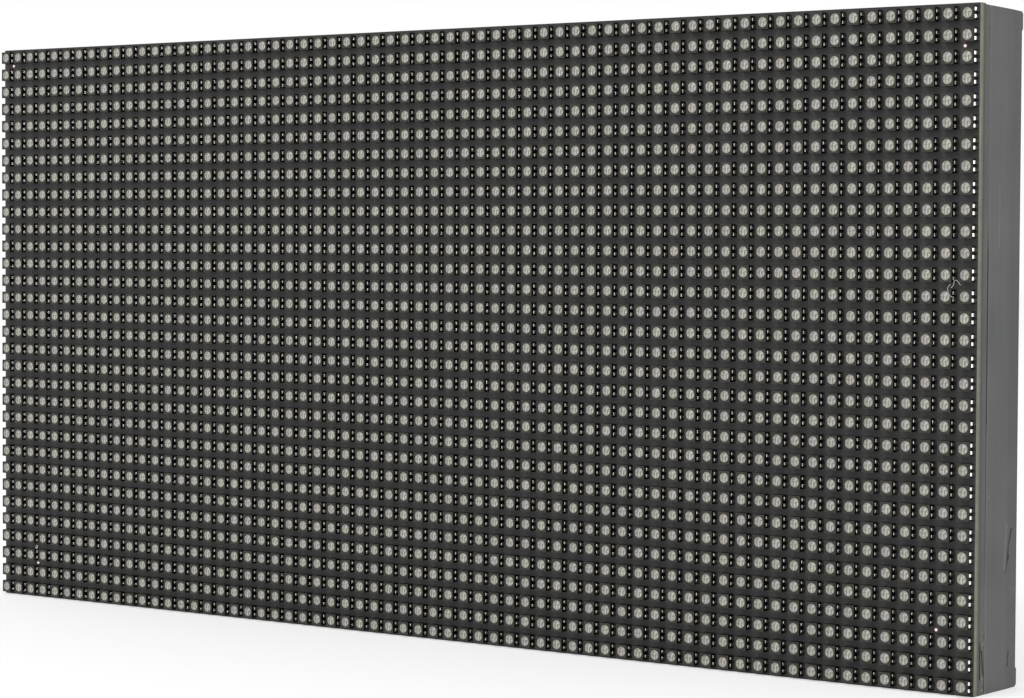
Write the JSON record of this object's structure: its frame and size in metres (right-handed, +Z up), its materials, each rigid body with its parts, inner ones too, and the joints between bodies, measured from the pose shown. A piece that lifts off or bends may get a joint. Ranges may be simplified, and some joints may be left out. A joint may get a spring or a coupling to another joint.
{
  "type": "led dot matrix module",
  "caption": "Flat LED dot matrix module: a grid of surface-mount LEDs on a black circuit board, backed by a ribbed plastic frame with threaded fixing points and sockets",
  "frame": {"origin": "centre of the underside, halfway through the depth, with the module upright", "axes": "+Z up, +X to a viewer's right along the rows of LEDs, the LEDs face -Y"},
  "size_m": [0.1918, 0.014, 0.0958],
  "materials": {
    "package_plastic": "matt black moulding compound",
    "lens_resin": "cloudy resin, level with the package",
    "board": "black solder mask, olive glass-fibre edge",
    "frame_plastic": "fine matt moulded texture",
    "brass": "turned and knurled",
    "tinned_steel": "tin plated",
    "screw_steel": "zinc plated",
    "header_plastic": "satin black",
    "gold_pin": "gold flash",
    "power_plastic": "natural nylon",
    "chip_plastic": "matt moulded",
    "resistor_body": "glassy",
    "ceramic": "fired ceramic",
    "can_aluminium": "drawn can"
  },
  "bodies": {
    "root": {"led_packages_upper": "package_plastic", "led_packages_lower": "package_plastic", "led_lenses_upper": "lens_resin", "led_lenses_lower": "lens_resin", "led_board": "board", "rear_frame": "frame_plastic", "mounting_inserts": "brass", "board_nuts": "tinned_steel", "frame_screws": "screw_steel", "signal_in_shroud": "header_plastic", "signal_in_pins": "gold_pin", "signal_out_shroud": "header_plastic", "signal_out_pins": "gold_pin", "power_header": "power_plastic", "power_pins": "tinned_steel", "driver_chips": "chip_plastic", "row_switch_chips": "chip_plastic", "row_decoder_chips": "chip_plastic", "line_buffer_chips": "chip_plastic", "current_set_resistors": "resistor_body", "decoupling_capacitors": "ceramic", "bulk_capacitor_bases": "header_plastic", "bulk_capacitor_cans": "can_aluminium", "bulk_capacitor_tabs": "tinned_steel"}
  },
  "joints": []
}
